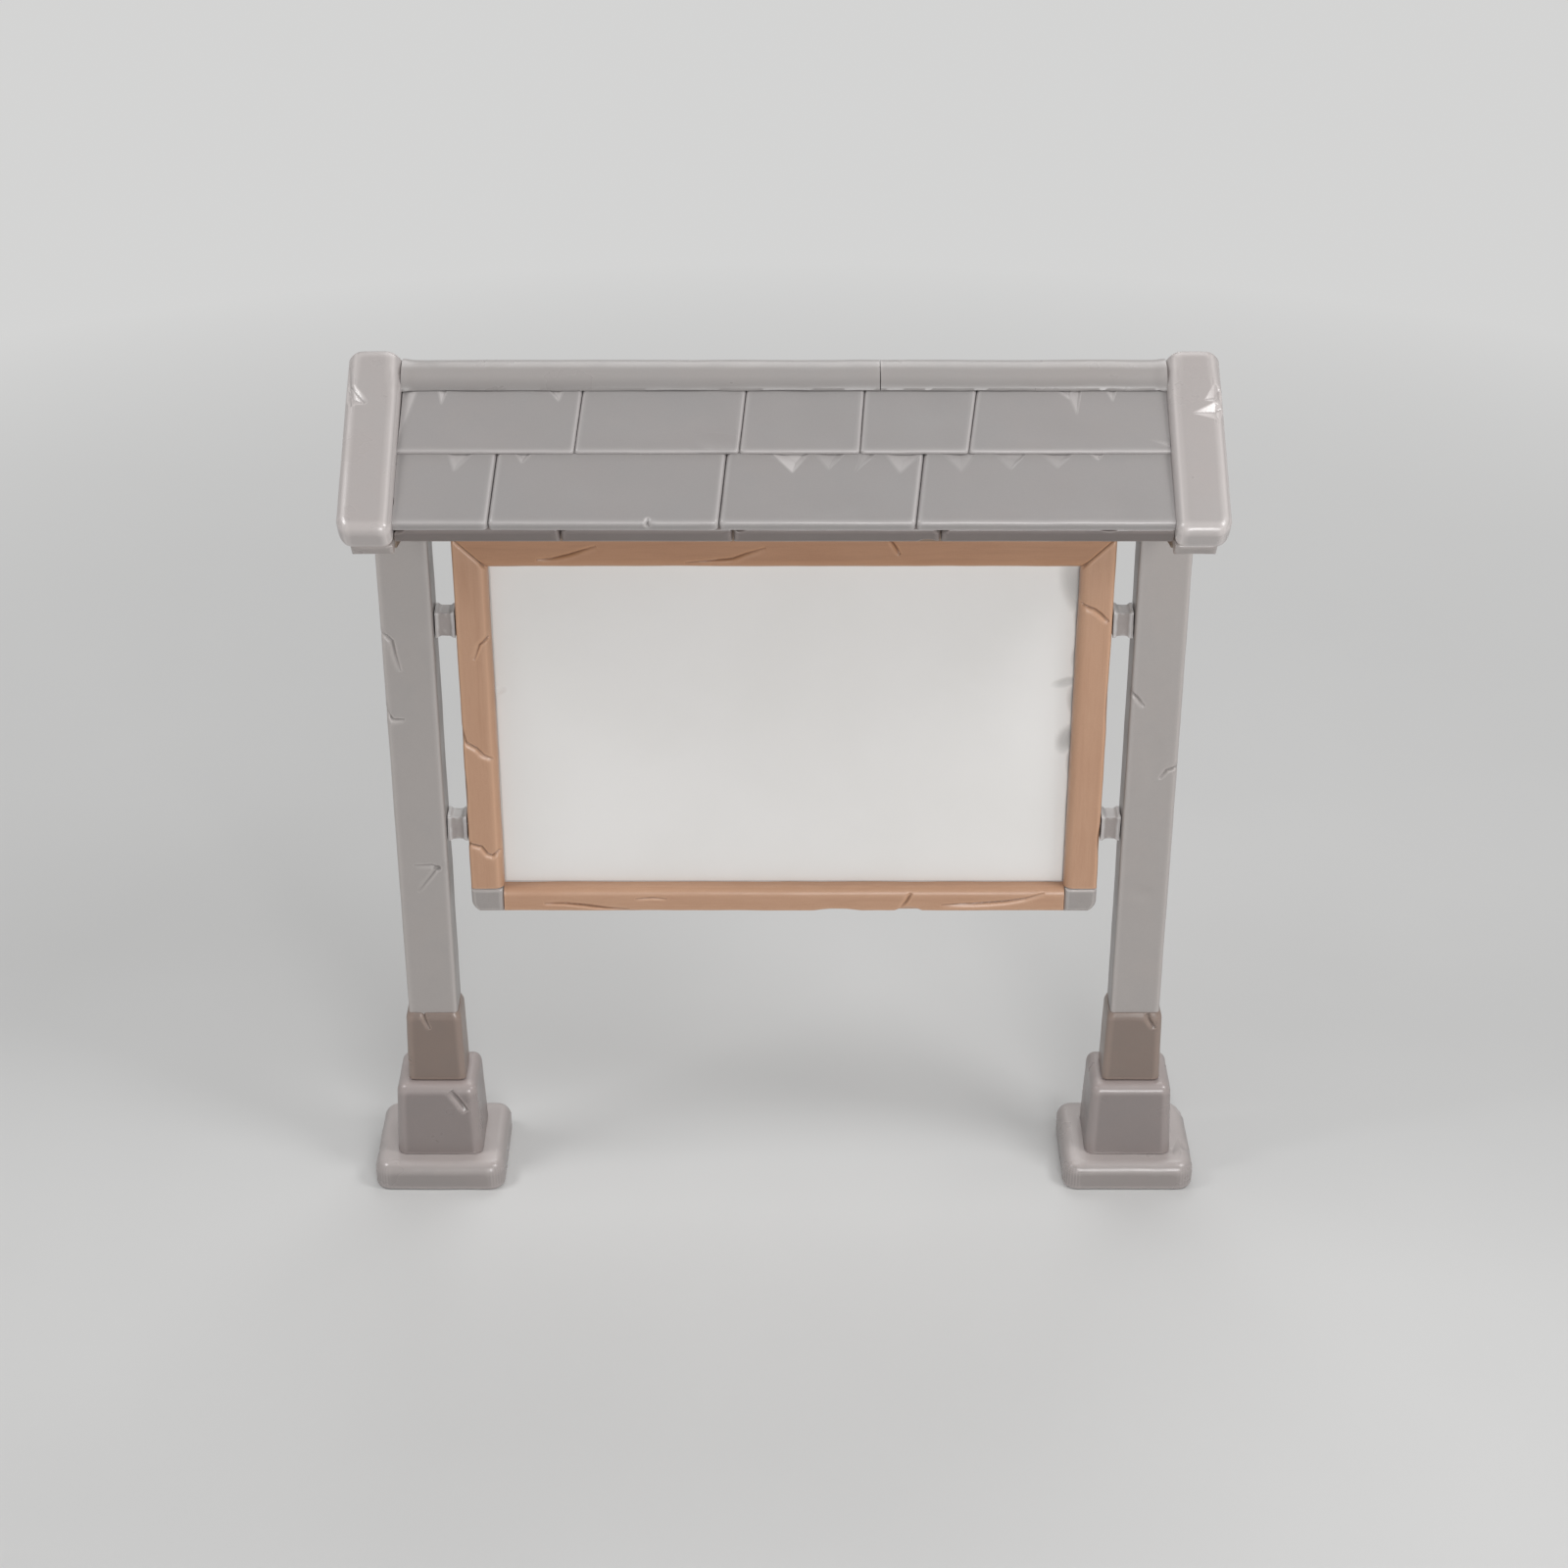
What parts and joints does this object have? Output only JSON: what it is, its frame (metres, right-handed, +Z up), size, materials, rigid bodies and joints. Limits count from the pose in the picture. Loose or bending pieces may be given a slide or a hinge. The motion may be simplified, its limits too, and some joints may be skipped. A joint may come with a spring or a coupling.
{
  "type": "notice board",
  "caption": "Free-standing notice board: a wood-framed white panel between two stone posts on stepped feet, under a small gabled roof of stone tiles.",
  "frame": {"origin": "on the ground, below the middle of the board: the centre of the bounding box's bottom face", "axes": "+Z up, -Y towards the person who reads the board, +X along the board to that person's right"},
  "size_m": [2.063, 0.783, 2.2],
  "materials": {
    "cap_stone": "smooth light pinkish-grey stone, softly polished, rounded edges with small chips",
    "tile_stone": "smooth mid-grey stone tiles, satin, with faceted chips near their edges",
    "deck_stone": "darker brown-grey stone slabs, satin",
    "post_stone": "light grey stone with a faint warm tint, satin, fine cracks and chips",
    "plinth_stone": "mid-grey stone, satin, with gouges",
    "boot_iron": "brown-grey weathered casting, satin",
    "bracket_metal": "grey painted metal, satin",
    "frame_wood": "light tan planed wood, satin, with a few carved cracks",
    "inner_wood": "plain brown timber, matt",
    "panel_white": "matt white, slightly uneven near its right edge",
    "fixing_steel": "zinc-plated steel, satin"
  },
  "bodies": {
    "root": {"backing_board": "inner_wood", "barge_cap_back_left": "cap_stone", "barge_cap_back_right": "cap_stone", "barge_cap_front_left": "cap_stone", "barge_cap_front_right": "cap_stone", "barrel_nuts": "fixing_steel", "bead_bottom": "inner_wood", "bead_left": "inner_wood", "bead_pins": "fixing_steel", "bead_right": "inner_wood", "bead_top": "inner_wood", "bracket_bolts": "fixing_steel", "bracket_lower_left": "bracket_metal", "bracket_lower_right": "bracket_metal", "bracket_upper_left": "bracket_metal", "bracket_upper_right": "bracket_metal", "cap_dowels": "fixing_steel", "corner_block_left": "bracket_metal", "corner_block_right": "bracket_metal", "corner_screws": "fixing_steel", "deck_slabs_back": "deck_stone", "deck_slabs_front": "deck_stone", "display_panel": "panel_white", "eave_purlin_back": "inner_wood", "eave_purlin_front": "inner_wood", "foot_slab_left": "cap_stone", "foot_slab_right": "cap_stone", "frame_bottom_rail": "frame_wood", "frame_stile_left": "frame_wood", "frame_stile_right": "frame_wood", "frame_top_rail": "frame_wood", "gable_plate_left": "inner_wood", "gable_plate_right": "inner_wood", "mitre_dowels": "inner_wood", "plinth_block_left": "plinth_stone", "plinth_block_right": "plinth_stone", "post_boot_left": "boot_iron", "post_boot_right": "boot_iron", "post_left": "post_stone", "post_right": "post_stone", "rafters_left": "post_stone", "rafters_right": "post_stone", "ridge_beam": "inner_wood", "ridge_roll_left": "tile_stone", "ridge_roll_right": "tile_stone", "tie_rod_nuts": "fixing_steel", "tie_rods": "fixing_steel", "tile_front_lower_1": "tile_stone", "tile_front_lower_2": "tile_stone", "tile_front_lower_3": "tile_stone", "tile_front_lower_4": "tile_stone", "tile_front_upper_1": "tile_stone", "tile_front_upper_2": "tile_stone", "tile_front_upper_3": "tile_stone", "tile_front_upper_4": "tile_stone", "tile_front_upper_5": "tile_stone", "tile_pins": "fixing_steel", "tiles_back_lower": "tile_stone", "tiles_back_upper": "tile_stone"}
  },
  "joints": []
}
